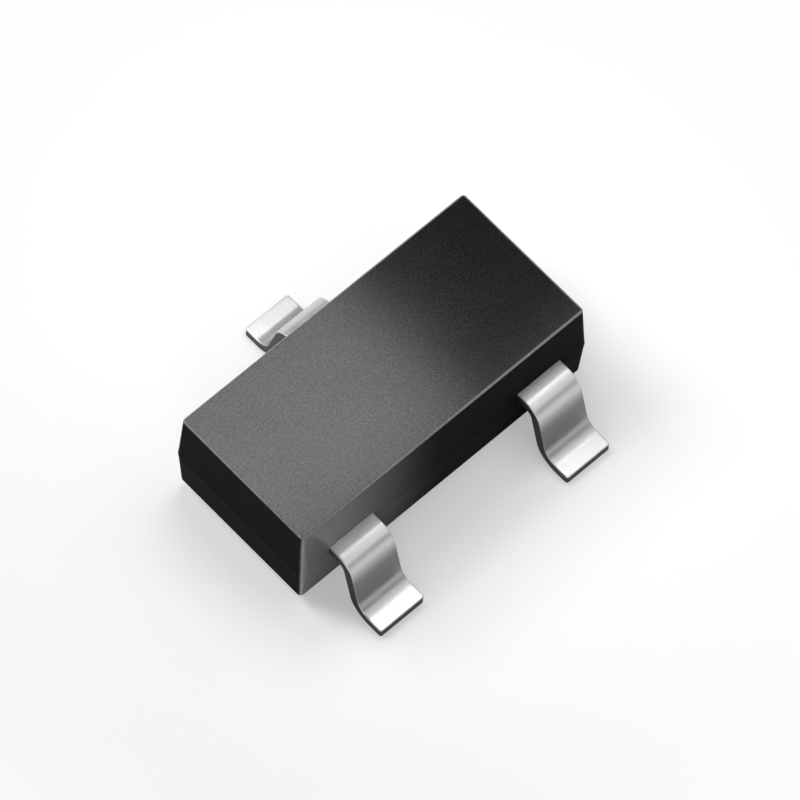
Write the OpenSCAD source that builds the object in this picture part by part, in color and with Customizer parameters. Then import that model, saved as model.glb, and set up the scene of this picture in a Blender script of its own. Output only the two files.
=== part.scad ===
// Surface-mount zener diode in a three-lead moulded package.
// X runs along the body, Y across it, Z up from the plane of the solder pads.
// Two leads leave the -Y side and one leaves the +Y side.

/* [Moulded body] */
// Length of the body at its parting line
body_length = 2.92; // [2.80:0.01:3.04]
// Width of the body at its parting line
body_width = 1.40; // [1.34:0.01:1.48]
// Height of the body from its underside to its top face
body_height = 0.97; // [0.90:0.01:1.02]
// Height of the body below the parting line
lower_height = 0.44; // [0.38:0.01:0.48]
// Gap between the solder pads and the underside of the body
standoff = 0.10; // [0.02:0.01:0.15]
// Lean of the body's sides away from the parting line, in degrees
draft_angle = 4; // [1:0.5:8]
// Radius of the four upright corners where the body is narrowest
corner_radius = 0.03; // [0.02:0.005:0.10]
// Radius along the edges of the top and bottom faces
edge_radius = 0.02; // [0.005:0.005:0.03]

/* [Leads] */
// Width of each lead
lead_width = 0.44; // [0.30:0.01:0.50]
// Thickness of the sheet that the leads are stamped from
lead_thickness = 0.09; // [0.07:0.01:0.13]
// Distance between the two leads that share a side
lead_pitch = 1.90; // [1.80:0.05:2.00]
// Distance across the part, from the tip of a front foot to the tip of the rear one
lead_span = 2.55; // [2.46:0.01:2.64]
// Lean of each leg from upright, in degrees
leg_lean = 14; // [5:1:22]
// Inside radius of the bend below the shoulder
shoulder_radius = 0.08; // [0.03:0.01:0.11]
// Inside radius of the bend above the foot
heel_radius = 0.14; // [0.06:0.01:0.17]
// Flat length of the foot that is soldered down
foot_length = 0.12; // [0.08:0.01:0.15]
// Radius of the foot's two corners, seen from above
toe_radius = 0.02; // [0.005:0.005:0.05]

/* [Lead frame inside the body] */
// Size of each bonding post along the body
post_length = 0.62; // [0.52:0.01:0.64]
// Size of each bonding post across the body
post_width = 0.42; // [0.30:0.01:0.50]
// Depth of moulding compound between the body's side and each post
post_cover = 0.20; // [0.12:0.01:0.28]
// Size of the chip's seat along the body
seat_length = 0.96; // [0.80:0.01:1.00]
// Size of the chip's seat across the body
seat_width = 0.66; // [0.50:0.01:0.80]
// Depth of moulding compound between the body's side and the seat
seat_cover = 0.22; // [0.15:0.01:0.30]
// Radius of the corners of the posts and the seat
frame_radius = 0.05; // [0.02:0.01:0.08]

/* [Chip and bond wire] */
// Side of the square silicon chip
die_side = 0.34; // [0.26:0.01:0.42]
// Thickness of the silicon chip
die_thickness = 0.14; // [0.10:0.01:0.16]
// Thickness of the conductive layer under the chip
attach_thickness = 0.02; // [0.01:0.005:0.04]
// Width of that layer showing around the chip
attach_margin = 0.03; // [0.01:0.005:0.04]
// Side of the square metal pad on top of the chip
pad_side = 0.18; // [0.12:0.01:0.24]
// Thickness of that metal pad
pad_thickness = 0.005; // [0.003:0.001:0.010]
// Diameter of the bond wire
wire_diameter = 0.025; // [0.020:0.001:0.032]
// Diameter of the ball pressed onto the chip
ball_diameter = 0.07; // [0.055:0.005:0.085]
// Height of the pressed ball
ball_height = 0.018; // [0.012:0.001:0.024]
// Height of the loop's upright start above the ball
loop_rise = 0.05; // [0.02:0.005:0.07]
// Radius of the bend at the top of the loop, to the middle of the wire
loop_radius = 0.06; // [0.04:0.005:0.07]
// Radius of the bend where the wire comes down to its post
landing_radius = 0.08; // [0.05:0.01:0.12]
// Length of the flattened stitch at the wire's end
stitch_length = 0.07; // [0.04:0.005:0.10]
// Thickness of the stitch at its tip
stitch_tip = 0.006; // [0.004:0.001:0.010]

/* [Hidden] */
$fn = 96;

quarter = 90;
half = 180;
edge_steps = 6;
bend_steps = 12;
corner_sides = 32;
wire_sides = 16;

frame_z = standoff + lower_height;
frame_top = frame_z + lead_thickness;
top_z = standoff + body_height;
upper_height = body_height - lower_height;
upper_inset = upper_height * tan(draft_angle);
lower_inset = lower_height * tan(draft_angle);
corner_reach = corner_radius + max(upper_inset, lower_inset);

lead_reach = (lead_span - body_width) / 2;
leg_turn = quarter - leg_lean;
bend_radii = shoulder_radius + heel_radius + lead_thickness;
leg_length = (frame_z - bend_radii * (1 - cos(leg_turn))) / sin(leg_turn);
bent_reach = bend_radii * sin(leg_turn) + leg_length * cos(leg_turn);
shoulder_length = lead_reach - bent_reach - foot_length;

post_y = body_width / 2 - post_cover - post_width / 2;
seat_y = body_width / 2 - seat_cover - seat_width / 2;
attach_side = die_side + 2 * attach_margin;
die_z = frame_top + attach_thickness;
pad_z = die_z + die_thickness;
ball_z = pad_z + pad_thickness;
ball_top = ball_z + ball_height;

wire_radius = wire_diameter / 2;
wire_start = [0, seat_y];
wire_end = [-lead_pitch / 2, -post_y];
wire_run = norm(wire_end - wire_start);
wire_heading = atan2(wire_end.y - wire_start.y, wire_end.x - wire_start.x);
loop_centre = [loop_radius, ball_top + loop_rise];
landing_centre = [wire_run, frame_top + wire_radius + landing_radius];
// The wire's slope is the straight line that touches both bends.
bends_apart = landing_centre - loop_centre;
wire_slope = asin((loop_radius + landing_radius) / norm(bends_apart))
           - atan2(bends_apart.y, bends_apart.x);

// Points of an arc, from one direction of its radius to another.
function arc(centre, radius, from, to, steps) =
    [for (i = [0:steps])
        let (a = from + (to - from) * i / steps)
        centre + radius * [cos(a), sin(a)]];

// Half of a corner column's section, with its wall at the given reach from the axis.
function half_section(reach) =
    let (fillet = min(edge_radius, corner_radius),
         // Distance from the sharp corner to the ends of its fillet
         setback = fillet * tan((quarter - draft_angle) / 2),
         bottom = [reach - lower_inset - setback, standoff + fillet],
         top = [reach - upper_inset - setback, top_z - fillet])
    concat([[0, standoff]],
           arc(bottom, fillet, -quarter, -draft_angle, edge_steps),
           [[reach, frame_z]],
           arc(top, fillet, draft_angle, quarter, edge_steps),
           [[0, top_z]]);

// Solid block that the mould makes: four drafted corner columns and what lies between.
module moulded_block() {
    column_x = body_length / 2 - corner_reach;
    column_y = body_width / 2 - corner_reach;
    hull()
        for (sx = [-1, 1], sy = [-1, 1])
            translate([sx * column_x, sy * column_y, 0])
                rotate_extrude($fn = corner_sides)
                    polygon(half_section(corner_reach));
}

// The formed strip seen from its edge. It leaves the body's wall at the origin,
// and its root lies inside the body.
function gull_wing(root) =
    let (t = lead_thickness,
         heel_start = half + leg_lean,
         heel_end = half + quarter,
         shoulder = [shoulder_length, -shoulder_radius],
         heel = [lead_reach - foot_length, t + heel_radius - frame_z])
    concat([[-root, t]],
           arc(shoulder, shoulder_radius + t, quarter, leg_lean, bend_steps),
           arc(heel, heel_radius, heel_start, heel_end, bend_steps),
           [[lead_reach, t - frame_z], [lead_reach, -frame_z]],
           arc(heel, heel_radius + t, heel_end, heel_start, bend_steps),
           arc(shoulder, shoulder_radius, leg_lean, quarter, bend_steps),
           [[-root, 0]]);

// The strip's outline from above, with the two corners of its toe rounded.
module stamped_outline(root) {
    corner_y = lead_width / 2 - toe_radius;
    translate([-root, -lead_width / 2])
        square([root + lead_reach - toe_radius, lead_width]);
    translate([-root, -corner_y])
        square([root + lead_reach, 2 * corner_y]);
    for (side = [-1, 1])
        translate([lead_reach - toe_radius, side * corner_y])
            circle(toe_radius);
}

// A lead that runs outwards along +X from its root inside the body.
module formed_lead(root) {
    intersection() {
        rotate([quarter, 0, 0])
            linear_extrude(2 * lead_width, center = true)
                polygon(gull_wing(root));
        translate([0, 0, -2 * frame_z])
            linear_extrude(4 * frame_z)
                stamped_outline(root + lead_width);
    }
}

// A flat plate of the lead frame with four rounded corners.
module frame_plate(length, width) {
    corner_x = length / 2 - frame_radius;
    corner_y = width / 2 - frame_radius;
    linear_extrude(lead_thickness) {
        square([length, 2 * corner_y], center = true);
        square([2 * corner_x, width], center = true);
        for (sx = [-1, 1], sy = [-1, 1])
            translate([sx * corner_x, sy * corner_y])
                circle(frame_radius);
    }
}

// A lead on the -Y side, whose inner end widens into a bonding post.
module front_lead(side) {
    translate([side * lead_pitch / 2, 0, frame_z]) {
        translate([0, -post_y, 0])
            frame_plate(post_length, post_width);
        translate([0, -body_width / 2, 0])
            rotate([0, 0, -quarter])
                formed_lead(post_cover + frame_radius);
    }
}

module lead_anode() {
    color("silver")
        front_lead(-1);
}

module lead_unconnected() {
    color("silver")
        front_lead(1);
}

// The rear lead, whose inner end widens into the seat that carries the chip.
module lead_cathode() {
    color("silver")
        translate([0, 0, frame_z]) {
            translate([0, seat_y, 0])
                frame_plate(seat_length, seat_width);
            translate([0, body_width / 2, 0])
                rotate([0, 0, quarter])
                    formed_lead(seat_cover + frame_radius);
        }
}

// A square slab centred on the chip's seat.
module seated_slab(side, z, thickness) {
    translate([-side / 2, seat_y - side / 2, z])
        cube([side, side, thickness]);
}

module die_attach() {
    color("gainsboro")
        seated_slab(attach_side, frame_top, attach_thickness);
}

module zener_die() {
    color("slategray")
        seated_slab(die_side, die_z, die_thickness);
}

module anode_pad() {
    color("lightgray")
        seated_slab(pad_side, pad_z, pad_thickness);
}

// The pressed ball: a flat disc with a round rim.
module bond_ball() {
    rim = ball_height / 2;
    rim_centre = [ball_diameter / 2 - rim, ball_z + rim];
    rotate_extrude()
        polygon(concat([[0, ball_z]],
                       arc(rim_centre, rim, -quarter, quarter, bend_steps),
                       [[0, ball_top]]));
}

// Stations of the wire round one bend: middle, heading and radius.
function bend_stations(centre, radius, from, to, heading) =
    let (points = arc(centre, radius, from, to, edge_steps),
         angle_step = (to - from) / edge_steps)
    [for (i = [0:edge_steps]) [points[i], heading + angle_step * i, wire_radius]];

// The wire's route in its own upright plane. It starts inside the ball, rises,
// turns over the top of the loop, slopes down, levels out and ends in the stitch.
function wire_stations() =
    let (buried = [wire_run + stitch_length / 3, frame_top + wire_radius / 2])
    concat([[[0, ball_z + ball_height / 2], quarter, wire_radius]],
           bend_stations(loop_centre, loop_radius, half, quarter - wire_slope, quarter),
           bend_stations(landing_centre, landing_radius, -quarter - wire_slope, -quarter,
                         -wire_slope),
           [[buried, 0, wire_radius / 3]]);

// One ring of points round the wire, square to its heading.
function wire_ring(middle, heading, radius) =
    [for (i = [0:wire_sides - 1])
        let (a = 2 * half * i / wire_sides,
             rise = radius * cos(a))
        [middle.x - rise * sin(heading), radius * sin(a), middle.y + rise * cos(heading)]];

module wire_sweep() {
    stations = wire_stations();
    last = len(stations) - 1;
    points = [for (s = stations) each wire_ring(s[0], s[1], s[2])];
    sides = [for (k = [0:last - 1], i = [0:wire_sides - 1])
        let (a = k * wire_sides + i,
             b = k * wire_sides + (i + 1) % wire_sides)
        each [[a, b, b + wire_sides], [a, b + wire_sides, a + wire_sides]]];
    start_cap = [for (i = [wire_sides - 1:-1:0]) i];
    end_cap = [for (i = [0:wire_sides - 1]) last * wire_sides + i];
    polyhedron(points, concat([start_cap, end_cap], sides));
}

// The wire's flattened end, thinnest at its tip, where it was pressed onto the post.
module stitch() {
    side_view = [[0, 0], [stitch_length, 0], [stitch_length, stitch_tip],
                 [0, wire_diameter]];
    translate([wire_run, 0, frame_top])
        rotate([quarter, 0, 0])
            linear_extrude(2 * wire_diameter, center = true)
                polygon(side_view);
}

module bond_wire() {
    color("gold")
        translate([wire_start.x, wire_start.y, 0])
            rotate([0, 0, wire_heading]) {
                bond_ball();
                wire_sweep();
                stitch();
            }
}

// The compound fills the mould round everything that is cast into it.
module mold_body() {
    color([0.16, 0.16, 0.17])
        difference() {
            moulded_block();
            lead_anode();
            lead_unconnected();
            lead_cathode();
            die_attach();
            zener_die();
            anode_pad();
            bond_wire();
        }
}

mold_body();
lead_anode();
lead_unconnected();
lead_cathode();
die_attach();
zener_die();
anode_pad();
bond_wire();
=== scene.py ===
import math

import bmesh
import bpy
from mathutils import Matrix, Vector


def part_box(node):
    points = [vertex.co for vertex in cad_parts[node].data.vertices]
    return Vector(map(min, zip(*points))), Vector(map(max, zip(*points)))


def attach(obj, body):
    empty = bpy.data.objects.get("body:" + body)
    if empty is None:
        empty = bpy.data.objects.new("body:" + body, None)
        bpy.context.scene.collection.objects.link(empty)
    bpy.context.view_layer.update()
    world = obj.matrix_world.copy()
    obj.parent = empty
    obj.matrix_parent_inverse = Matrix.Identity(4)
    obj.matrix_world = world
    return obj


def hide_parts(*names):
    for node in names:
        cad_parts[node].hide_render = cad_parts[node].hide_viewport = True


# Every shape is worked out in millimetres and becomes metres as its piece is finished
mm = 0.001
touching = 1e-5   # millimetres; places closer than this are the same

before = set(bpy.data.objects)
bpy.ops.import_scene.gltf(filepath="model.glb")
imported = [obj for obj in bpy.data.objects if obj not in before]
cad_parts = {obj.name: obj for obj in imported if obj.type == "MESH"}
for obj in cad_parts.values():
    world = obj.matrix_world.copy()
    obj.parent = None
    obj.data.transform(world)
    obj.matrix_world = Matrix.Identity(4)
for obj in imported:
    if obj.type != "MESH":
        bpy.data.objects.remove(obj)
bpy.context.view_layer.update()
print("frame loaded:", len(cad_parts), "nodes")


def boxInMm(node):
    low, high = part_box(node)
    return low / mm, high / mm


bodyLow, bodyHigh = boxInMm("mold_body")
seatLow, seatHigh = boxInMm("lead_cathode")
postLow, postHigh = boxInMm("lead_anode")


# Points of an arc in a plane, from one direction of its radius to another, in degrees
def arcPoints(centre, radius, fromAngle, toAngle, steps):
    points = []
    for i in range(steps + 1):
        angle = math.radians(fromAngle + (toAngle - fromAngle) * i / steps)
        points.append((centre[0] + radius * math.cos(angle), centre[1] + radius * math.sin(angle)))
    return points


def newObject(name, data):
    made = bpy.data.objects.new(name, data)
    bpy.context.scene.collection.objects.link(made)
    return made


# A finished piece is a plain mesh in the frame's place, standing for one CAD node
def finishPiece(name, mesh, node):
    mesh.transform(Matrix.Scale(mm, 4))
    piece = newObject(name, mesh)
    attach(piece, "root")
    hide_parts(node)


# The result of an object's modifiers as a plain mesh; the object itself goes
def applied(maker, meshName):
    graph = bpy.context.evaluated_depsgraph_get()
    mesh = bpy.data.meshes.new_from_object(maker.evaluated_get(graph), depsgraph=graph)
    mesh.name = meshName
    bpy.data.objects.remove(maker)
    return mesh


# The same mesh with normals that lie flat on its large faces
def evenNormals(mesh, keepSharp):
    name = mesh.name
    mesh.name = name + "Rough"
    maker = newObject(name + "Maker", mesh)
    finer = maker.modifiers.new("normals", "WEIGHTED_NORMAL")
    finer.keep_sharp = keepSharp
    return applied(maker, name)


# A node tree and one socket in it, which arithmetic can be done with
class Wire:
    def __init__(self, tree, socket=None):
        self.tree = tree
        self.socket = socket

    # Adds a node: its settings first, then the values or links of its sockets
    def add(self, kind, settings=None, inputs=None, output=0):
        node = self.tree.nodes.new(kind)
        for key, value in (settings or {}).items():
            setattr(node, key, value)
        for key, value in (inputs or {}).items():
            self.feed(node, key, value)
        return Wire(self.tree, node.outputs[output]) if node.outputs else node

    def feed(self, node, key, value):
        if isinstance(value, Wire):
            self.tree.links.new(value.socket, node.inputs[key])
        else:
            node.inputs[key].default_value = value

    # Another output of the node that this socket belongs to
    def beside(self, output):
        return Wire(self.tree, self.socket.node.outputs[output])

    def math(self, operation, first, second=0.0):
        return self.add("ShaderNodeMath", {"operation": operation}, {0: first, 1: second})

    def __add__(self, other):
        return self.math("ADD", self, other)

    def __radd__(self, other):
        return self.math("ADD", other, self)

    def __sub__(self, other):
        return self.math("SUBTRACT", self, other)

    def __rsub__(self, other):
        return self.math("SUBTRACT", other, self)

    def __mul__(self, other):
        return self.math("MULTIPLY", self, other)

    def __rmul__(self, other):
        return self.math("MULTIPLY", other, self)


camera = {
    "azimuth": -45.6,     # degrees round the part, from its front
    "elevation": 63.4,    # degrees above the floor
    "roll": 3.27,         # degrees about the line of sight
    "distance": 73.0,     # millimetres from the part's origin
    "frameWidth": 6.018,  # millimetres seen across the picture at that distance
    "aimRight": 0.148,    # millimetres from the origin to the picture's middle
    "aimUp": 0.218,
    "sensorWidth": 36.0,
    "nearest": 1.0,       # millimetres, what it can see
    "farthest": 1000.0,
}


def addCamera():
    turn = math.radians(camera["azimuth"])
    rise = math.radians(camera["elevation"])
    roll = math.radians(camera["roll"])
    back = Vector((math.sin(turn) * math.cos(rise), -math.cos(turn) * math.cos(rise), math.sin(rise)))
    level = Vector((math.cos(turn), math.sin(turn), 0.0))
    upright = back.cross(level)
    right = level * math.cos(roll) + upright * math.sin(roll)
    up = upright * math.cos(roll) - level * math.sin(roll)
    place = right * camera["aimRight"] + up * camera["aimUp"] + back * camera["distance"]
    data = bpy.data.cameras.new("camera")
    data.sensor_width = camera["sensorWidth"]
    data.lens = camera["sensorWidth"] * camera["distance"] / camera["frameWidth"]
    data.clip_start = camera["nearest"] * mm
    data.clip_end = camera["farthest"] * mm
    viewer = newObject("camera", data)
    axes = Matrix((right, up, back)).transposed().to_4x4()
    viewer.matrix_world = Matrix.Translation(place * mm) @ axes
    bpy.context.scene.camera = viewer


addCamera()
print("camera ready")


leadShape = {
    "width": 0.44,
    "thickness": 0.09,
    "legLean": 14.0,         # degrees from upright
    "shoulderRadius": 0.08,  # inside of the bend
    "heelRadius": 0.14,
    "footLength": 0.12,
    "toeRadius": 0.02,
    "plateRadius": 0.05,     # corners of the posts and the seat
    "neckRadius": 0.03,      # where the strip widens
    "rolledEdge": 0.010,     # rounding on the punch's side
    "cutEdge": 0.004,        # rounding on the die's side
    "rimSteps": 3,           # faces round each rim and each corner of the outline
    "cornerSteps": 8,
    "neckSteps": 6,
    "bendCuts": 24,          # across the strip, at each bend
    "bendPoints": 96,        # of the path there
    "postWidth": 0.42,
    "postCover": 0.20,       # compound between the body's wall and the post
    "seatWidth": 0.66,
    "seatCover": 0.22,
}


# Middle line of the formed strip, with its corners still sharp, out from the body's wall
def leadCorners(reach, seatHeight):
    turn = math.radians(90.0 - leadShape["legLean"])
    middle = leadShape["thickness"] / 2
    tangent = math.tan(turn / 2)
    heelX = reach - leadShape["footLength"] - (leadShape["heelRadius"] + middle) * tangent
    shoulderX = heelX - seatHeight * math.tan(math.radians(leadShape["legLean"]))
    return shoulderX, heelX, turn


# Where the bends start and end along the flat strip, and the strip's whole length
def developedLengths(reach, seatHeight):
    shoulderX, heelX, turn = leadCorners(reach, seatHeight)
    middle = leadShape["thickness"] / 2
    shoulder = leadShape["shoulderRadius"] + middle
    heel = leadShape["heelRadius"] + middle
    leg = seatHeight / math.cos(math.radians(leadShape["legLean"]))
    straightLeg = leg - (shoulder + heel) * math.tan(turn / 2)
    start = shoulderX - shoulder * math.tan(turn / 2)
    shoulderEnd = start + shoulder * turn
    heelStart = shoulderEnd + straightLeg
    heelEnd = heelStart + heel * turn
    return start, shoulderEnd, heelStart, heelEnd, heelEnd + leadShape["footLength"]


# Outline of the flat blank as it is stamped: x runs outwards from the body's wall, y across
def blankOutline(plate, tip):
    plateLength, plateWidth, cover = plate
    half = leadShape["width"] / 2
    toe = leadShape["toeRadius"]
    corner = leadShape["plateRadius"]
    neck = leadShape["neckRadius"]
    neckSteps = leadShape["neckSteps"]
    steps = leadShape["cornerSteps"]
    plateY = plateLength / 2 - corner
    backX = -cover - plateWidth + corner
    frontX = -cover - corner
    outline = arcPoints((-cover + neck, -half - neck), neck, 180, 90, neckSteps)
    outline += arcPoints((tip - toe, -half + toe), toe, -90, 0, steps)
    outline += arcPoints((tip - toe, half - toe), toe, 0, 90, steps)
    outline += arcPoints((-cover + neck, half + neck), neck, 270, 180, neckSteps)
    outline += arcPoints((frontX, plateY), corner, 0, 90, steps)
    outline += arcPoints((backX, plateY), corner, 90, 180, steps)
    outline += arcPoints((backX, -plateY), corner, 180, 270, steps)
    outline += arcPoints((frontX, -plateY), corner, 270, 360, steps)
    return outline


# The blank with its rims rounded, and cut across where it will bend
def stampedBlank(name, plate, reach, seatHeight):
    start, shoulderEnd, heelStart, heelEnd, tip = developedLengths(reach, seatHeight)
    thickness = leadShape["thickness"]
    shape = bmesh.new()
    corners = [shape.verts.new((x, y, 0.0)) for x, y in blankOutline(plate, tip)]
    raised = bmesh.ops.extrude_face_region(shape, geom=[shape.faces.new(corners)])
    top = [item for item in raised["geom"] if isinstance(item, bmesh.types.BMVert)]
    bmesh.ops.translate(shape, verts=top, vec=(0.0, 0.0, thickness))
    bmesh.ops.recalc_face_normals(shape, faces=shape.faces)
    for height, radius in ((thickness, leadShape["rolledEdge"]), (0.0, leadShape["cutEdge"])):
        rim = [e for e in shape.edges if all(abs(v.co.z - height) < touching for v in e.verts)]
        bmesh.ops.bevel(shape, geom=rim, offset=radius, segments=leadShape["rimSteps"],
                        profile=0.5, affect="EDGES")
    for first, last in ((start, shoulderEnd), (heelStart, heelEnd)):
        for i in range(leadShape["bendCuts"] + 1):
            place = first + (last - first) * i / leadShape["bendCuts"]
            everything = shape.verts[:] + shape.edges[:] + shape.faces[:]
            bmesh.ops.bisect_plane(shape, geom=everything, plane_co=(place, 0, 0), plane_no=(1, 0, 0))
    mesh = bpy.data.meshes.new(name)
    shape.to_mesh(mesh)
    shape.free()
    markBlank(mesh)
    return mesh


# What the tin follows: each point's place on the flat strip, and whether it is on a cut side
def markBlank(mesh):
    # Both are made before either is looked up, because making one moves the other's values
    mesh.attributes.new("flatBlank", "FLOAT_VECTOR", "POINT")
    mesh.attributes.new("shearedEdge", "FLOAT", "POINT")
    flat = mesh.attributes["flatBlank"]
    sheared = mesh.attributes["shearedEdge"]
    sideStart = leadShape["cutEdge"] - touching
    sideEnd = leadShape["thickness"] - leadShape["rolledEdge"] + touching
    for vertex in mesh.vertices:
        flat.data[vertex.index].vector = vertex.co
        sheared.data[vertex.index].value = 1.0 if sideStart < vertex.co.z < sideEnd else 0.0


# Geometry tree that bends a flat blank along a filleted path and puts it in its place
def formingTree():
    tree = bpy.data.node_groups.new("formLead", "GeometryNodeTree")
    tree.interface.new_socket("Blank", in_out="INPUT", socket_type="NodeSocketGeometry")
    sizes = ("Root Length", "Shoulder X", "Heel X", "Reach", "Frame Height", "Half Thickness",
             "Shoulder Radius", "Heel Radius", "Turn")
    for name in sizes:
        tree.interface.new_socket(name, in_out="INPUT", socket_type="NodeSocketFloat")
    tree.interface.new_socket("Bend Points", in_out="INPUT", socket_type="NodeSocketInt")
    tree.interface.new_socket("Place", in_out="INPUT", socket_type="NodeSocketVector")
    tree.interface.new_socket("Tin", in_out="INPUT", socket_type="NodeSocketMaterial")
    tree.interface.new_socket("Lead", in_out="OUTPUT", socket_type="NodeSocketGeometry")
    nodes = Wire(tree)
    given = nodes.add("NodeGroupInput")

    def point(x, z):
        return nodes.add("ShaderNodeCombineXYZ", {}, {"X": x, "Z": z})

    low = given.beside("Half Thickness")
    high = given.beside("Frame Height") + low
    index = nodes.add("GeometryNodeInputIndex")
    corners = nodes.add("GeometryNodeIndexSwitch", {"data_type": "VECTOR"}, {"Index": index})
    switch = corners.socket.node
    places = [point(0 - given.beside("Root Length"), high), point(given.beside("Shoulder X"), high),
              point(given.beside("Heel X"), low), point(given.beside("Reach"), low)]
    while len(switch.index_switch_items) < len(places):
        switch.index_switch_items.new()
    for i, place in enumerate(places):
        nodes.feed(switch, i + 1, place)   # its first input is the index
    line = nodes.add("GeometryNodeMeshLine", {}, {"Count": len(places)})
    bent = nodes.add("GeometryNodeSetPosition", {}, {"Geometry": line, "Position": corners})
    path = nodes.add("GeometryNodeMeshToCurve", {}, {"Mesh": bent})
    isShoulder = nodes.add("FunctionNodeCompare", {"data_type": "INT", "operation": "EQUAL"},
                           {2: index, 3: 1})   # these two inputs are the whole numbers
    radius = nodes.add("GeometryNodeSwitch", {"input_type": "FLOAT"},
                       {"Switch": isShoulder, "False": given.beside("Heel Radius") + low,
                        "True": given.beside("Shoulder Radius") + low})
    rounded = nodes.add("GeometryNodeFilletCurve", {"mode": "POLY"},
                        {"Curve": path, "Count": given.beside("Bend Points"), "Radius": radius})
    blank = nodes.add("GeometryNodeInputPosition")
    along = nodes.add("ShaderNodeSeparateXYZ", {}, {"Vector": blank}, "X")
    across = along.beside("Y")
    above = along.beside("Z") - low
    onPath = nodes.add("GeometryNodeSampleCurve", {"mode": "LENGTH", "use_all_curves": True},
                       {"Curves": rounded, "Length": along + given.beside("Root Length")}, "Position")
    sideways = nodes.add("ShaderNodeCombineXYZ", {}, {"Y": 1.0})
    normal = nodes.add("ShaderNodeVectorMath", {"operation": "CROSS_PRODUCT"},
                       {0: onPath.beside("Tangent"), 1: sideways})
    lifted = nodes.add("ShaderNodeVectorMath", {"operation": "SCALE"}, {0: normal, "Scale": above})
    shifted = nodes.add("ShaderNodeCombineXYZ", {}, {"Y": across})
    offset = nodes.add("ShaderNodeVectorMath", {"operation": "ADD"}, {0: lifted, 1: shifted})
    formed = nodes.add("ShaderNodeVectorMath", {"operation": "ADD"}, {0: onPath, 1: offset})
    lead = nodes.add("GeometryNodeSetPosition", {},
                     {"Geometry": given.beside("Blank"), "Position": formed})
    turn = nodes.add("ShaderNodeCombineXYZ", {}, {"Z": given.beside("Turn")})
    placed = nodes.add("GeometryNodeTransform", {},
                       {"Geometry": lead, "Translation": given.beside("Place"), "Rotation": turn})
    smooth = nodes.add("GeometryNodeSetShadeSmooth", {}, {"Geometry": placed})
    real = nodes.add("GeometryNodeRealizeInstances", {}, {"Geometry": smooth})
    tinned = nodes.add("GeometryNodeSetMaterial", {},
                       {"Geometry": real, "Material": given.beside("Tin")})
    nodes.add("NodeGroupOutput", {}, {"Lead": tinned})
    return tree


def setInputs(modifier, values):
    for item in modifier.node_group.interface.items_tree:
        if item.item_type == "SOCKET" and item.in_out == "INPUT" and item.name in values:
            modifier[item.identifier] = values[item.name]


def makeLead(name, tree, tin, node, x, side, plate):
    wall = side * bodyHigh.y
    low, high = boxInMm(node)
    reach = max(abs(low.y), abs(high.y)) - bodyHigh.y
    seatHeight = high.z - leadShape["thickness"]
    blank = stampedBlank(name, plate, reach, seatHeight)
    shoulderX, heelX = leadCorners(reach, seatHeight)[:2]
    plateWidth, cover = plate[1:]
    maker = newObject(name + "Maker", blank)
    modifier = maker.modifiers.new("form", "NODES")
    modifier.node_group = tree
    setInputs(modifier, {
        "Root Length": plateWidth + cover,
        "Shoulder X": shoulderX,
        "Heel X": heelX,
        "Reach": reach,
        "Frame Height": seatHeight,
        "Half Thickness": leadShape["thickness"] / 2,
        "Shoulder Radius": leadShape["shoulderRadius"],
        "Heel Radius": leadShape["heelRadius"],
        "Turn": math.radians(90.0 * side),
        "Bend Points": leadShape["bendPoints"],
        "Place": (x, wall, 0.0),
        "Tin": tin,
    })
    return evenNormals(applied(maker, name), False)


# A new material, its Principled shader and the start of its nodes
def startFinish(name):
    material = bpy.data.materials.new(name)
    material.use_nodes = True
    tree = material.node_tree
    return material, tree.nodes["Principled BSDF"], Wire(tree)


def greyColour(nodes, shade, blueness):
    return nodes.add("ShaderNodeCombineColor", {},
                     {"Red": shade, "Green": shade, "Blue": shade * blueness})


# The inputs 6 and 7 are the two colours, and the output 2 is their mix
def mixedColour(nodes, factor, first, second):
    return nodes.add("ShaderNodeMix", {"data_type": "RGBA"}, {0: factor, 6: first, 7: second}, 2)


# A noise with its scale, in waves per metre, and its detail, as the dictionaries give them
def noise(nodes, place, scale, detail):
    return nodes.add("ShaderNodeTexNoise", {}, {"Vector": place, "Scale": scale, "Detail": detail})


# A noise, which stays round 0.5, as a change round 0
def swing(wave, size):
    return (wave - 0.5) * size


# A bump with its strength and its depth in millimetres, as the dictionaries give them
def relief(nodes, height, strength, depth):
    return nodes.add("ShaderNodeBump", {},
                     {"Height": height, "Strength": strength, "Distance": depth * mm})


def mixedValue(share, first, second):
    return first + share * (second - first)


def smoothRange(nodes, value, first, last):
    return nodes.add("ShaderNodeMapRange", {"interpolation_type": "SMOOTHSTEP"},
                     {"Value": value, "From Min": first, "From Max": last})


# Rises from 0 to 1 between two places in millimetres
def softStep(nodes, place, first, last):
    return smoothRange(nodes, place, first * mm, last * mm)


# Rises over one stretch and falls over another
def softBand(nodes, place, rise, fall):
    return softStep(nodes, place, *rise) * (1 - softStep(nodes, place, *fall))


tinLook = {
    "shade": 0.65,
    "blueness": 1.01,
    "roughness": 0.38,
    "shearedToneAndShade": 0.06,          # cut sides, duller bare metal, and darker still as painted shade
    "shearedRoughness": 0.12,      # what they add
    # painted shade: a darker band down the leg
    "paintedShadeStart": (0.14, 0.38),     # millimetres along the strip where painted shade darkens the leg
    "paintedShadeEnd": (0.42, 0.85),
    "paintedShadeDepth": 0.66,
    "grain": (70000.0, 3.0),
    "grainTone": 0.10,
    "shearedGrainTone": 0.08,
    "grainHeight": 0.7,
    "cloud": (6000.0, 2.0),
    "cloudTone": 0.07,
    "cloudRoughness": 0.10,
    "streaks": (1.5, 60.0, 60.0),  # rolling marks, per millimetre along and across the strip
    "streakDetail": 3.0,
    "streakTone": 0.06,
    "streakRoughness": 0.14,
    "streakHeight": 0.3,
    "relief": (0.25, 0.001),
}


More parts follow.
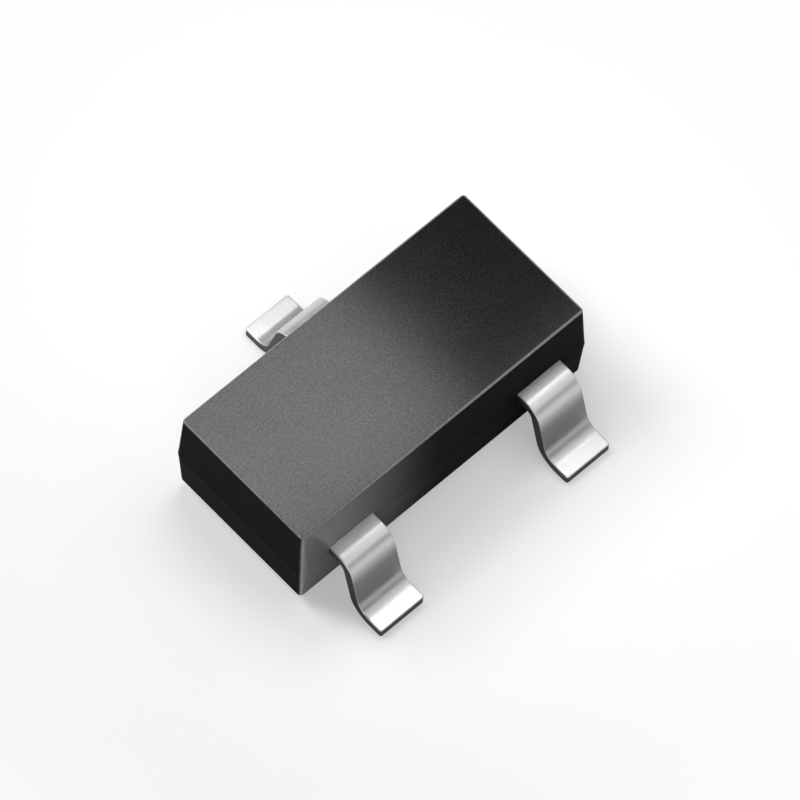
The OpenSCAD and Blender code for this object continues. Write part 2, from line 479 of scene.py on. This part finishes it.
def tinFinish():
    look = tinLook
    material, shader, nodes = startFinish("matteTin")
    blank = nodes.add("ShaderNodeAttribute", {"attribute_name": "flatBlank"}, {}, "Vector")
    sheared = nodes.add("ShaderNodeAttribute", {"attribute_name": "shearedEdge"}, {}, "Fac")
    place = nodes.add("ShaderNodeTexCoord", {}, {}, "Object")
    grain = noise(nodes, place, *look["grain"])
    cloud = noise(nodes, place, *look["cloud"])
    drawn = nodes.add("ShaderNodeMapping", {}, {"Vector": blank, "Scale": look["streaks"]})
    streak = noise(nodes, drawn, 1.0, look["streakDetail"])
    outwards = nodes.add("ShaderNodeSeparateXYZ", {}, {"Vector": blank}, "X") * mm
    # Painted shade: the tin darker in a band down the leg
    paintedShadeBand = softBand(nodes, outwards, look["paintedShadeStart"], look["paintedShadeEnd"])
    shade = look["shade"] + swing(grain, look["grainTone"]) + swing(cloud, look["cloudTone"])
    shade = (shade + swing(streak, look["streakTone"])) * (1 - paintedShadeBand * look["paintedShadeDepth"])
    # The cut sides: duller bare metal, and darker still as painted shade
    cutSideToneAndShade = look["shearedToneAndShade"] + swing(grain, look["shearedGrainTone"])
    shade = mixedValue(sheared, shade, cutSideToneAndShade)
    rough = look["roughness"] + swing(cloud, look["cloudRoughness"])
    rough = rough + swing(streak, look["streakRoughness"]) + sheared * look["shearedRoughness"]
    height = grain * look["grainHeight"] + streak * look["streakHeight"]
    nodes.feed(shader, "Base Color", greyColour(nodes, shade, look["blueness"]))
    nodes.feed(shader, "Roughness", rough)
    nodes.feed(shader, "Normal", relief(nodes, height, *look["relief"]))
    shader.inputs["Metallic"].default_value = 1.0
    return material


tin = tinFinish()
forming = formingTree()
leadX = (postHigh.x + postLow.x) / 2
# Each plate: its length along the wall, its width, and how far inside the wall it starts
postPlate = (postHigh.x - postLow.x, leadShape["postWidth"], leadShape["postCover"])
seatPlate = (seatHigh.x - seatLow.x, leadShape["seatWidth"], leadShape["seatCover"])
# Each lead: the node it stands for, its place along the wall, the wall's side and its plate
leads = {
    "leadAnode": ("lead_anode", leadX, -1, postPlate),
    "leadUnconnected": ("lead_unconnected", -leadX, -1, postPlate),
    "leadCathode": ("lead_cathode", 0.0, 1, seatPlate),
}
leadMeshes = {name: makeLead(name, forming, tin, *lead) for name, lead in leads.items()}
print("leads stamped and formed")


bodyShape = {
    "partingHeight": 0.44,   # above the underside
    "draftAngle": 4.0,       # degrees
    "cornerRadius": 0.03,
    "edgeRadius": 0.02,
    "flashHeight": 0.012,    # the fine line left where the mould halves met
    "flashDepth": 0.002,
    "flashCrest": 0.3,       # share of its height that lies flat
    "wearAndHighlightReach": 0.016,    # how far the wear and painted highlight spread to each side of an upright corner
    "sharpAngle": 40.0,      # degrees; edges turning more stay crisp
    "cornerSteps": 10,
    "edgeSteps": 8,
}


# Heights of the body's sections, each with how far it stands in from the parting line
def bodyProfile():
    draft = math.radians(bodyShape["draftAngle"])
    edge = bodyShape["edgeRadius"]
    setback = edge * math.tan((math.pi / 2 - draft) / 2)
    parting = bodyLow.z + bodyShape["partingHeight"]
    lowerInset = (parting - bodyLow.z) * math.tan(draft)
    upperInset = (bodyHigh.z - parting) * math.tan(draft)
    turned = 90.0 - bodyShape["draftAngle"]
    steps = bodyShape["edgeSteps"]
    lower = arcPoints((lowerInset + setback, bodyLow.z + edge), edge, 270, 270 - turned, steps)
    upper = arcPoints((upperInset + setback, bodyHigh.z - edge), edge, 90 + turned, 90, steps)
    flash = bodyShape["flashHeight"] / 2
    crest = flash * bodyShape["flashCrest"]
    depth = bodyShape["flashDepth"]
    line = [(depth, parting - flash), (0.0, parting - crest), (0.0, parting + crest),
            (depth, parting + flash)]
    return [(max(x, depth), z) for x, z in lower] + line + [(max(x, depth), z) for x, z in upper]


compoundLook = {
    "shade": 0.005,
    "blueness": 1.02,
    "roughness": 0.85,         # the walls and the underside, from a coarsely eroded mould
    "specular": 0.07,
    "wearAndHighlightShade": 0.27,       # what the edges add, partly wear from handling and partly painted highlight
    "wearAndHighlightAmount": 0.75,           # how much of it shows on the whole, and its unevenness
    "wearAndHighlightGrain": 0.8,
    "wearAndHighlightCloud": 0.6,
    "skinRoughness": 0.20,     # the top, where resin lies smooth over the filler
    "skinIndex": 1.40,
    "skinCover": 0.86,
    "skinThinning": 0.80,      # over the filler's grains
    "skinClouds": 0.12,        # and in wider patches
    "skinRim": 0.25,           # where it ends on the rounded edges, as a share of their radius
    "skinBlend": 0.008,        # how softly it ends in the middle of an upright corner
    "wallSkinAndSheenSpan": (-1.45, 0.0),  # millimetres along the long walls: full, then none, for the skin and its painted sheen
    # painted sheen: the long walls paler towards that end
    "paintedWallSheenShade": 0.13,
    "paintedWallSheenGrain": 0.8,
    "grain": (55000.0, 4.0),
    "grainContrast": 3.0,
    "grainRoughness": 0.10,
    "cloud": (2500.0, 3.0),
    "cloudContrast": 1.0,
    "cloudRoughness": 0.06,
    "relief": (0.4, 0.001),
}


# Where the skin lies: on the top, and on the long walls towards one end, where a painted sheen lies
# too
def skinAndSheenMasks(nodes, place):
    look = compoundLook
    along = nodes.add("ShaderNodeSeparateXYZ", {}, {"Vector": place}, "X")
    across = along.beside("Y")
    height = along.beside("Z")
    edge = bodyShape["edgeRadius"]
    rim = edge * look["skinRim"]
    onTop = softStep(nodes, height, bodyHigh.z - edge, bodyHigh.z - rim)
    offUnderside = softStep(nodes, height, bodyLow.z + rim, bodyLow.z + edge)
    towardsEnd = 1 - softStep(nodes, along, *look["wallSkinAndSheenSpan"])
    aside = nodes.math("ABSOLUTE", across) - nodes.math("ABSOLUTE", along)
    corner = bodyHigh.y - bodyHigh.x
    onLongSide = softStep(nodes, aside, corner - look["skinBlend"], corner + look["skinBlend"])
    return onTop, towardsEnd * onLongSide * offUnderside * (1 - onTop)


def compoundFinish():
    look = compoundLook
    material, shader, nodes = startFinish("mouldCompound")
    edgeWearAndHighlight = nodes.add("ShaderNodeAttribute", {"attribute_name": "edgeWearAndHighlightMark"}, {}, "Fac")
    place = nodes.add("ShaderNodeTexCoord", {}, {}, "Object")
    grain = noise(nodes, place, *look["grain"])
    cloud = noise(nodes, place, *look["cloud"])
    onTop, wallSkinAndSheen = skinAndSheenMasks(nodes, place)
    contrast = 1 + swing(grain, look["grainContrast"]) + swing(cloud, look["cloudContrast"])
    # The edges lighter: partly wear, partly painted highlight
    wearAndHighlightStrength = look["wearAndHighlightAmount"] + swing(grain, look["wearAndHighlightGrain"]) + swing(cloud, look["wearAndHighlightCloud"])
    shade = look["shade"] * contrast + edgeWearAndHighlight * wearAndHighlightStrength * look["wearAndHighlightShade"]
    # Painted sheen: the long walls paler towards one end
    shade = shade + wallSkinAndSheen * look["paintedWallSheenShade"] * (1 + swing(grain, look["paintedWallSheenGrain"]))
    rough = look["roughness"] + swing(grain, look["grainRoughness"])
    rough = rough + swing(cloud, look["cloudRoughness"])
    cover = look["skinCover"] + swing(grain, look["skinThinning"]) + swing(cloud, look["skinClouds"])
    nodes.feed(shader, "Base Color", greyColour(nodes, shade, look["blueness"]))
    nodes.feed(shader, "Roughness", rough)
    nodes.feed(shader, "Coat Weight", (onTop + wallSkinAndSheen) * cover)
    nodes.feed(shader, "Normal", relief(nodes, grain, *look["relief"]))
    shader.inputs["Specular IOR Level"].default_value = look["specular"]
    shader.inputs["Coat Roughness"].default_value = look["skinRoughness"]
    shader.inputs["Coat IOR"].default_value = look["skinIndex"]
    return material


compound = compoundFinish()


# From the parting line's corner square in to the middle of its rounding
def cornerReach():
    parting = bodyShape["partingHeight"]
    tallest = max(parting, bodyHigh.z - bodyLow.z - parting)
    return bodyShape["cornerRadius"] + tallest * math.tan(math.radians(bodyShape["draftAngle"]))


def bodyBlock():
    reach = cornerReach()
    columnX = bodyHigh.x - reach
    columnY = bodyHigh.y - reach
    shape = bmesh.new()
    rings = []
    for inset, z in bodyProfile():
        ring = []
        for quarter, (sx, sy) in enumerate(((1, 1), (-1, 1), (-1, -1), (1, -1))):
            centre = (sx * columnX, sy * columnY)
            start = 90 * quarter
            corner = arcPoints(centre, reach - inset, start, start + 90, bodyShape["cornerSteps"])
            ring += [shape.verts.new((x, y, z)) for x, y in corner]
        rings.append(ring)
    for lower, upper in zip(rings, rings[1:]):
        for i in range(len(lower)):
            j = (i + 1) % len(lower)
            shape.faces.new((lower[i], lower[j], upper[j], upper[i]))
    shape.faces.new(rings[0][::-1])
    shape.faces.new(rings[-1])
    for face in shape.faces:
        face.smooth = True
    mesh = bpy.data.meshes.new("mouldBody")
    shape.to_mesh(mesh)
    shape.free()
    mesh.materials.append(compound)
    return mesh


def mergeDoubles(mesh):
    shape = bmesh.new()
    shape.from_mesh(mesh)
    bmesh.ops.remove_doubles(shape, verts=shape.verts, dist=touching)
    shape.to_mesh(mesh)
    shape.free()


def mergedCopy(node):
    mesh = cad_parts[node].data.copy()
    mesh.transform(Matrix.Scale(1 / mm, 4))
    mergeDoubles(mesh)
    return mesh


def makeBody():
    maker = newObject("bodyMaker", bodyBlock())
    cutters = []
    cutMeshes = [mesh.copy() for mesh in leadMeshes.values()]
    cutMeshes += [mergedCopy(n) for n in ("bond_wire", "anode_pad", "zener_die", "die_attach")]
    for i, mesh in enumerate(cutMeshes):
        cutter = newObject("cutter%d" % i, mesh)
        cut = maker.modifiers.new("cavity%d" % i, "BOOLEAN")
        cut.operation = "DIFFERENCE"
        cut.solver = "EXACT"
        cut.object = cutter
        cutters.append(cutter)
    mesh = applied(maker, "mouldBody")
    for cutter in cutters:
        bpy.data.objects.remove(cutter)
    mergeDoubles(mesh)
    mesh.set_sharp_from_angle(angle=math.radians(bodyShape["sharpAngle"]))
    return evenNormals(mesh, True)


# How far each point of the outside lies into a rounded edge, for the edges' wear and painted
# highlight: 0 on the flats, 1 in its middle
def markEdgeWearAndHighlight(mesh):
    reach = cornerReach()
    edge = bodyShape["edgeRadius"]
    edgeWearAndHighlight = mesh.attributes.new("edgeWearAndHighlightMark", "FLOAT", "POINT")
    for vertex in mesh.vertices:
        x, y, z = vertex.co
        beyondX = abs(x) - (bodyHigh.x - reach)
        beyondY = abs(y) - (bodyHigh.y - reach)
        height = max(z - (bodyHigh.z - edge), bodyLow.z + edge - z, 0.0)
        rise = min(height / edge, 1.0)
        turned = max(math.degrees(math.asin(rise)) - bodyShape["draftAngle"], 0.0)
        mark = math.sin(math.pi * turned / (90.0 - bodyShape["draftAngle"]))
        if beyondX > 0 and beyondY > 0:
            turn = math.atan2(beyondY, beyondX) - math.pi / 4
            aside = math.hypot(beyondX, beyondY) * turn / bodyShape["wearAndHighlightReach"]
            mark = max(mark, (1 - rise) * max(1 - aside ** 2, 0) ** 2)
        edgeWearAndHighlight.data[vertex.index].value = mark if height < edge - touching else 0.0


bodyMesh = makeBody()
markEdgeWearAndHighlight(bodyMesh)
finishPiece("mouldBody", bodyMesh, "mold_body")
for name, lead in leads.items():
    finishPiece(name, leadMeshes[name], lead[0])
print("body moulded")


epoxyLook = {
    "resin": (0.34, 0.33, 0.31, 1.0),
    "flakes": (0.72, 0.71, 0.69, 1.0),
    "flakesPerMetre": 120000.0,
    "flakeShare": 0.62,
    "flakeMetal": 0.9,
    "resinRoughness": 0.55,
    "flakeRoughness": 0.35,
    "relief": (0.6, 0.001),
}


def epoxyFinish():
    look = epoxyLook
    material, shader, nodes = startFinish("silverEpoxy")
    place = nodes.add("ShaderNodeTexCoord", {}, {}, "Object")
    cell = nodes.add("ShaderNodeTexVoronoi", {},
                     {"Vector": place, "Scale": look["flakesPerMetre"]}, "Color")
    draw = nodes.add("ShaderNodeSeparateColor", {}, {"Color": cell}, "Red")
    tilt = draw.beside("Green")
    flake = nodes.math("LESS_THAN", draw, look["flakeShare"])
    nodes.feed(shader, "Base Color", mixedColour(nodes, flake, look["resin"], look["flakes"]))
    nodes.feed(shader, "Metallic", flake * look["flakeMetal"])
    nodes.feed(shader, "Roughness", mixedValue(flake, look["resinRoughness"], look["flakeRoughness"]))
    nodes.feed(shader, "Normal", relief(nodes, tilt, *look["relief"]))
    return material


siliconLook = {
    "sawn": (0.16, 0.16, 0.17, 1.0),
    "sawnMetal": 0.5,
    "sawnRoughness": 0.5,
    "sawStreaks": (20000.0, 20000.0, 900000.0),  # per metre along the chip's sides and up them
    "sawDetail": 3.0,
    "sawSwing": 0.3,
    "relief": (0.5, 0.001),
    "oxide": (0.10, 0.14, 0.24, 1.0),
    "topMetal": 0.7,
    "topRoughness": 0.12,
    "topReach": 0.0005,            # millimetres down the sides that still count as the top
    "guardRing": (0.30, 0.30, 0.36, 1.0),
    "ringInside": (0.104, 0.106),  # millimetres from the pad's middle
    "ringOutside": (0.124, 0.126),
    "ringShare": 0.9,
    "ringSwing": 0.6,
    "tint": (4000.0, 2.0),
}


# Sawn sides, and a polished top under an oxide with the guard ring of the junction in it
def siliconFinish():
    look = siliconLook
    material, shader, nodes = startFinish("sawnSilicon")
    low, high = boxInMm("zener_die")
    middle = (low + high) / 2
    place = nodes.add("ShaderNodeTexCoord", {}, {}, "Object")
    height = nodes.add("ShaderNodeSeparateXYZ", {}, {"Vector": place}, "Z")
    onTop = nodes.math("GREATER_THAN", height, (high.z - look["topReach"]) * mm)
    fromPad = nodes.add("ShaderNodeMapping", {"vector_type": "POINT"},
                        {"Vector": place, "Location": (-middle.x * mm, -middle.y * mm, -high.z * mm)})
    away = nodes.add("ShaderNodeVectorMath", {"operation": "LENGTH"}, {0: fromPad}, "Value")
    tint = noise(nodes, place, *look["tint"])
    ring = softBand(nodes, away, look["ringInside"], look["ringOutside"])
    ring = ring * (look["ringShare"] + swing(tint, look["ringSwing"]))
    top = mixedColour(nodes, ring, look["oxide"], look["guardRing"])
    stretched = nodes.add("ShaderNodeMapping", {}, {"Vector": place, "Scale": look["sawStreaks"]})
    saw = noise(nodes, stretched, 1.0, look["sawDetail"])
    onSides = 1 - onTop
    rough = mixedValue(onTop, look["sawnRoughness"], look["topRoughness"])
    nodes.feed(shader, "Base Color", mixedColour(nodes, onTop, look["sawn"], top))
    nodes.feed(shader, "Metallic", mixedValue(onTop, look["sawnMetal"], look["topMetal"]))
    nodes.feed(shader, "Roughness", rough + onSides * swing(saw, look["sawSwing"]))
    nodes.feed(shader, "Normal", relief(nodes, saw * onSides, *look["relief"]))
    return material


padLook = {
    "shade": 0.84,
    "blueness": 1.01,
    "roughness": 0.28,
    "grainPerMetre": 250000.0,
    "grainTone": 0.1,
    "grainRoughness": 0.1,
    "relief": (0.4, 0.0005),
}


def padFinish():
    look = padLook
    material, shader, nodes = startFinish("padAluminium")
    place = nodes.add("ShaderNodeTexCoord", {}, {}, "Object")
    grain = nodes.add("ShaderNodeTexVoronoi", {}, {"Vector": place, "Scale": look["grainPerMetre"]})
    shade = look["shade"] - grain * look["grainTone"]
    nodes.feed(shader, "Base Color", greyColour(nodes, shade, look["blueness"]))
    nodes.feed(shader, "Roughness", look["roughness"] + grain * look["grainRoughness"])
    nodes.feed(shader, "Normal", relief(nodes, grain, *look["relief"]))
    shader.inputs["Metallic"].default_value = 1.0
    return material


goldLook = {
    "gold": (0.90, 0.64, 0.26, 1.0),
    "deepGold": (0.78, 0.50, 0.17, 1.0),
    "roughness": 0.20,
    "grain": (160000.0, 3.0),
    "grainRoughness": 0.12,
    "relief": (0.3, 0.0005),
}


def goldFinish():
    look = goldLook
    material, shader, nodes = startFinish("drawnGold")
    place = nodes.add("ShaderNodeTexCoord", {}, {}, "Object")
    grain = noise(nodes, place, *look["grain"])
    nodes.feed(shader, "Base Color", mixedColour(nodes, grain, look["deepGold"], look["gold"]))
    nodes.feed(shader, "Roughness", look["roughness"] + swing(grain, look["grainRoughness"]))
    nodes.feed(shader, "Normal", relief(nodes, grain, *look["relief"]))
    shader.inputs["Metallic"].default_value = 1.0
    return material


def dressNode(node, material):
    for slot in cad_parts[node].material_slots:
        slot.material = material


dressNode("die_attach", epoxyFinish())
dressNode("zener_die", siliconFinish())
dressNode("anode_pad", padFinish())
dressNode("bond_wire", goldFinish())
print("chip, its seat and its wire finished")


studio = {
    "floorSize": 400.0,
    "floorDrop": 0.002,        # below the feet
    "floorShade": 0.94,
    "floorRoughness": 0.9,
    "floorFade": (2.3, 5.5),   # where the floor turns into the white backdrop
    "shadowLift": 0.35,        # share of white in the floor near the part, as the camera sees it
    "wallLight": 0.33,
    "ceilingLight": 0.05,
    "wallToCeiling": (0.50, 0.82),  # heights of direction: 0 at the horizon, 1 overhead
    "backdropEnd": (0.10, 0.35),    # the same, where metal stops showing the white backdrop
    # Each softbox: its middle, what it faces, its two sides in millimetres, and its brightness
    "softboxes": {
        "sheenLight": ((0.49, 1.67, 5.57), (0.49, 1.67, 0.0), (2.74, 2.0), 7.4),
        "footLight": ((2.90, 0.10, 5.40), (2.90, 0.10, 0.0), (1.4, 1.3), 2.3),
        "leadLight": ((1.90, -3.20, 5.57), (1.90, -3.20, 0.0), (4.5, 7.6), 1.15),
        "shoulderLight": ((1.90, -0.35, 5.50), (1.90, -0.35, 0.0), (4.5, 1.9), 0.5),
        "keyLight": ((-17.3, 37.1, 43.9), (0.0, 0.0, 0.5), (26.0, 26.0), 9.0),
        "fillLight": ((-36.7, -36.7, 30.0), (0.0, 0.0, 0.5), (22.0, 22.0), 2.8),
    },
}


# Rays that meet the backdrop straight from the camera, and by way of metal or glass
def backdropRays(nodes):
    straight = nodes.add("ShaderNodeLightPath", {}, {}, "Is Camera Ray")
    return straight, straight.beside("Is Glossy Ray") + straight.beside("Is Transmission Ray")


# Matte near the part and plain white further off, and clear from below, to show the underside
def floorFinish():
    material, shader, nodes = startFinish("paleFloor")
    shade = studio["floorShade"]
    shader.inputs["Base Color"].default_value = (shade, shade, shade, 1.0)
    shader.inputs["Roughness"].default_value = studio["floorRoughness"]
    shader.inputs["Specular IOR Level"].default_value = 0.0
    place = nodes.add("ShaderNodeTexCoord", {}, {}, "Object")
    away = nodes.add("ShaderNodeVectorMath", {"operation": "LENGTH"}, {0: place}, "Value")
    fade = softStep(nodes, away, *studio["floorFade"])
    straight, mirrored = backdropRays(nodes)
    lifted = mixedValue(fade, studio["shadowLift"], 1.0)
    share = nodes.math("MINIMUM", straight * lifted + mirrored * fade, 1.0)
    lit = Wire(nodes.tree, shader.outputs[0])
    white = nodes.add("ShaderNodeEmission", {}, {"Color": (1.0, 1.0, 1.0, 1.0), "Strength": 1.0})
    faded = nodes.add("ShaderNodeMixShader", {}, {0: share, 1: lit, 2: white})
    fromBelow = nodes.add("ShaderNodeNewGeometry", {}, {}, "Backfacing")
    clear = nodes.add("ShaderNodeBsdfTransparent")
    shown = nodes.add("ShaderNodeMixShader", {}, {0: fromBelow, 1: faded, 2: clear})
    nodes.feed(nodes.tree.nodes["Material Output"], "Surface", shown)
    return material


def addFloor():
    half = studio["floorSize"] / 2 * mm
    z = -studio["floorDrop"] * mm
    mesh = bpy.data.meshes.new("floor")
    mesh.from_pydata([(-half, -half, z), (half, -half, z), (half, half, z), (-half, half, z)],
                     [], [(0, 1, 2, 3)])
    mesh.materials.append(floorFinish())
    floor = newObject("floor", mesh)


def addSoftbox(name, place, aim, size, brightness):
    data = bpy.data.lights.new(name, "AREA")
    data.shape = "RECTANGLE"
    data.size = size[0] * mm
    data.size_y = size[1] * mm
    data.energy = brightness * math.pi * size[0] * size[1] * mm * mm
    lamp = newObject(name, data)
    back = (Vector(place) - Vector(aim)).normalized()
    right = Vector((0.0, 1.0, 0.0)).cross(back).normalized()
    axes = Matrix((right, back.cross(right), back)).transposed().to_4x4()
    lamp.matrix_world = Matrix.Translation(Vector(place) * mm) @ axes


def addWorld():
    world = bpy.data.worlds.new("studio")
    bpy.context.scene.world = world
    world.use_nodes = True
    nodes = Wire(world.node_tree)
    direction = nodes.add("ShaderNodeTexCoord", {}, {}, "Generated")
    height = nodes.add("ShaderNodeSeparateXYZ", {}, {"Vector": direction}, "Z")
    overhead = smoothRange(nodes, height, *studio["wallToCeiling"])
    light = mixedValue(overhead, studio["wallLight"], studio["ceilingLight"])
    low = 1 - smoothRange(nodes, height, *studio["backdropEnd"])
    straight, mirrored = backdropRays(nodes)
    white = nodes.math("MINIMUM", straight + mirrored * low, 1.0)
    nodes.feed(nodes.tree.nodes["Background"], "Color", mixedValue(white, light, 1.0))


addFloor()
for name, settings in studio["softboxes"].items():
    addSoftbox(name, *settings)
addWorld()
bpy.context.scene.view_settings.view_transform = "Standard"
print("studio ready")
